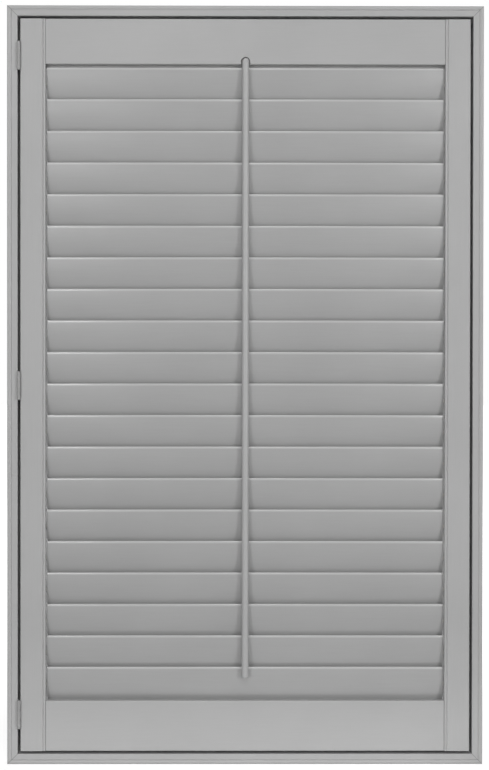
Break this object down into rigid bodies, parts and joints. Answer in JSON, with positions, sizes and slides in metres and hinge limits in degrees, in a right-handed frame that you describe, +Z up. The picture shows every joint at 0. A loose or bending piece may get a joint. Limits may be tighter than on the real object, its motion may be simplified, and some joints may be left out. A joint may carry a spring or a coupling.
{
  "type": "plantation shutter",
  "caption": "Framed plantation shutter panel on side hinges, with wide tilting louvers linked by a front tilt rod.",
  "frame": {"origin": "middle of the flat underside of the frame's bottom member", "axes": "+X to the right seen from the front, +Y to the back, +Z up"},
  "size_m": [0.861, 0.0567, 1.3721],
  "materials": {
    "painted_timber": "satin grey paint",
    "painted_hinge": "satin grey paint over steel",
    "catch_magnet": "dark coated",
    "strike_steel": "zinc plated",
    "staple_wire": "bright wire"
  },
  "bodies": {
    "frame": {"frame_left": "painted_timber", "frame_right": "painted_timber", "frame_top": "painted_timber", "frame_bottom": "painted_timber", "hinge_top_frame_leaf": "painted_hinge", "hinge_middle_frame_leaf": "painted_hinge", "hinge_bottom_frame_leaf": "painted_hinge", "magnet_catches": "catch_magnet"},
    "panel": {"stile_left": "painted_timber", "stile_right": "painted_timber", "top_rail": "painted_timber", "bottom_rail": "painted_timber", "hinge_top_panel_leaf": "painted_hinge", "hinge_middle_panel_leaf": "painted_hinge", "hinge_bottom_panel_leaf": "painted_hinge", "strike_plates": "strike_steel"},
    "louver_01": {"louver_01": "painted_timber"},
    "louver_02": {"louver_02": "painted_timber"},
    "louver_03": {"louver_03": "painted_timber"},
    "louver_04": {"louver_04": "painted_timber"},
    "louver_05": {"louver_05": "painted_timber"},
    "louver_06": {"louver_06": "painted_timber"},
    "louver_07": {"louver_07": "painted_timber"},
    "louver_08": {"louver_08": "painted_timber"},
    "louver_09": {"louver_09": "painted_timber"},
    "louver_10": {"louver_10": "painted_timber"},
    "louver_11": {"louver_11": "painted_timber"},
    "louver_12": {"louver_12": "painted_timber"},
    "louver_13": {"louver_13": "painted_timber"},
    "louver_14": {"louver_14": "painted_timber"},
    "louver_15": {"louver_15": "painted_timber"},
    "louver_16": {"louver_16": "painted_timber"},
    "louver_17": {"louver_17": "painted_timber"},
    "louver_18": {"louver_18": "painted_timber"},
    "louver_19": {"louver_19": "painted_timber"},
    "louver_20": {"louver_20": "painted_timber"},
    "tilt_rod": {"tilt_rod": "painted_timber", "rod_staples": "staple_wire"}
  },
  "joints": [
    {"name": "panel_swing", "type": "hinge", "parent": "frame", "child": "panel", "pos_m": [-0.409, -0.0285, 0.68603], "axis": [0, 0, -1], "range_deg": [0, 160]},
    {"name": "louver_01_tilt", "type": "hinge", "parent": "panel", "child": "louver_01", "pos_m": [0, -0.0107, 1.23035], "axis": [1, 0, 0], "range_deg": [0, 127]},
    {"name": "louver_02_tilt", "type": "hinge", "parent": "panel", "child": "louver_02", "pos_m": [0, -0.0107, 1.1732], "axis": [1, 0, 0], "range_deg": [0, 127]},
    {"name": "louver_03_tilt", "type": "hinge", "parent": "panel", "child": "louver_03", "pos_m": [0, -0.0107, 1.11605], "axis": [1, 0, 0], "range_deg": [0, 127]},
    {"name": "louver_04_tilt", "type": "hinge", "parent": "panel", "child": "louver_04", "pos_m": [0, -0.0107, 1.0589], "axis": [1, 0, 0], "range_deg": [0, 127]},
    {"name": "louver_05_tilt", "type": "hinge", "parent": "panel", "child": "louver_05", "pos_m": [0, -0.0107, 1.00175], "axis": [1, 0, 0], "range_deg": [0, 127]},
    {"name": "louver_06_tilt", "type": "hinge", "parent": "panel", "child": "louver_06", "pos_m": [0, -0.0107, 0.9446], "axis": [1, 0, 0], "range_deg": [0, 127]},
    {"name": "louver_07_tilt", "type": "hinge", "parent": "panel", "child": "louver_07", "pos_m": [0, -0.0107, 0.88745], "axis": [1, 0, 0], "range_deg": [0, 127]},
    {"name": "louver_08_tilt", "type": "hinge", "parent": "panel", "child": "louver_08", "pos_m": [0, -0.0107, 0.8303], "axis": [1, 0, 0], "range_deg": [0, 127]},
    {"name": "louver_09_tilt", "type": "hinge", "parent": "panel", "child": "louver_09", "pos_m": [0, -0.0107, 0.77315], "axis": [1, 0, 0], "range_deg": [0, 127]},
    {"name": "louver_10_tilt", "type": "hinge", "parent": "panel", "child": "louver_10", "pos_m": [0, -0.0107, 0.716], "axis": [1, 0, 0], "range_deg": [0, 127]},
    {"name": "louver_11_tilt", "type": "hinge", "parent": "panel", "child": "louver_11", "pos_m": [0, -0.0107, 0.65885], "axis": [1, 0, 0], "range_deg": [0, 127]},
    {"name": "louver_12_tilt", "type": "hinge", "parent": "panel", "child": "louver_12", "pos_m": [0, -0.0107, 0.6017], "axis": [1, 0, 0], "range_deg": [0, 127]},
    {"name": "louver_13_tilt", "type": "hinge", "parent": "panel", "child": "louver_13", "pos_m": [0, -0.0107, 0.54455], "axis": [1, 0, 0], "range_deg": [0, 127]},
    {"name": "louver_14_tilt", "type": "hinge", "parent": "panel", "child": "louver_14", "pos_m": [0, -0.0107, 0.4874], "axis": [1, 0, 0], "range_deg": [0, 127]},
    {"name": "louver_15_tilt", "type": "hinge", "parent": "panel", "child": "louver_15", "pos_m": [0, -0.0107, 0.43025], "axis": [1, 0, 0], "range_deg": [0, 127]},
    {"name": "louver_16_tilt", "type": "hinge", "parent": "panel", "child": "louver_16", "pos_m": [0, -0.0107, 0.3731], "axis": [1, 0, 0], "range_deg": [0, 127]},
    {"name": "louver_17_tilt", "type": "hinge", "parent": "panel", "child": "louver_17", "pos_m": [0, -0.0107, 0.31595], "axis": [1, 0, 0], "range_deg": [0, 127]},
    {"name": "louver_18_tilt", "type": "hinge", "parent": "panel", "child": "louver_18", "pos_m": [0, -0.0107, 0.2588], "axis": [1, 0, 0], "range_deg": [0, 127]},
    {"name": "louver_19_tilt", "type": "hinge", "parent": "panel", "child": "louver_19", "pos_m": [0, -0.0107, 0.20165], "axis": [1, 0, 0], "range_deg": [0, 127]},
    {"name": "louver_20_tilt", "type": "hinge", "parent": "panel", "child": "louver_20", "pos_m": [0, -0.0107, 0.1445], "axis": [1, 0, 0], "range_deg": [0, 127]},
    {"name": "tilt_rod_hang", "type": "hinge", "parent": "louver_10", "child": "tilt_rod", "pos_m": [0, -0.01735, 0.75189], "axis": [1, 0, 0], "range_deg": [-127, 0]}
  ],
  "couplings": [
    {"joint": "louver_01_tilt", "follows": "louver_10_tilt", "ratio": 1},
    {"joint": "louver_02_tilt", "follows": "louver_10_tilt", "ratio": 1},
    {"joint": "louver_03_tilt", "follows": "louver_10_tilt", "ratio": 1},
    {"joint": "louver_04_tilt", "follows": "louver_10_tilt", "ratio": 1},
    {"joint": "louver_05_tilt", "follows": "louver_10_tilt", "ratio": 1},
    {"joint": "louver_06_tilt", "follows": "louver_10_tilt", "ratio": 1},
    {"joint": "louver_07_tilt", "follows": "louver_10_tilt", "ratio": 1},
    {"joint": "louver_08_tilt", "follows": "louver_10_tilt", "ratio": 1},
    {"joint": "louver_09_tilt", "follows": "louver_10_tilt", "ratio": 1},
    {"joint": "louver_11_tilt", "follows": "louver_10_tilt", "ratio": 1},
    {"joint": "louver_12_tilt", "follows": "louver_10_tilt", "ratio": 1},
    {"joint": "louver_13_tilt", "follows": "louver_10_tilt", "ratio": 1},
    {"joint": "louver_14_tilt", "follows": "louver_10_tilt", "ratio": 1},
    {"joint": "louver_15_tilt", "follows": "louver_10_tilt", "ratio": 1},
    {"joint": "louver_16_tilt", "follows": "louver_10_tilt", "ratio": 1},
    {"joint": "louver_17_tilt", "follows": "louver_10_tilt", "ratio": 1},
    {"joint": "louver_18_tilt", "follows": "louver_10_tilt", "ratio": 1},
    {"joint": "louver_19_tilt", "follows": "louver_10_tilt", "ratio": 1},
    {"joint": "louver_20_tilt", "follows": "louver_10_tilt", "ratio": 1},
    {"joint": "tilt_rod_hang", "follows": "louver_10_tilt", "ratio": -1}
  ]
}
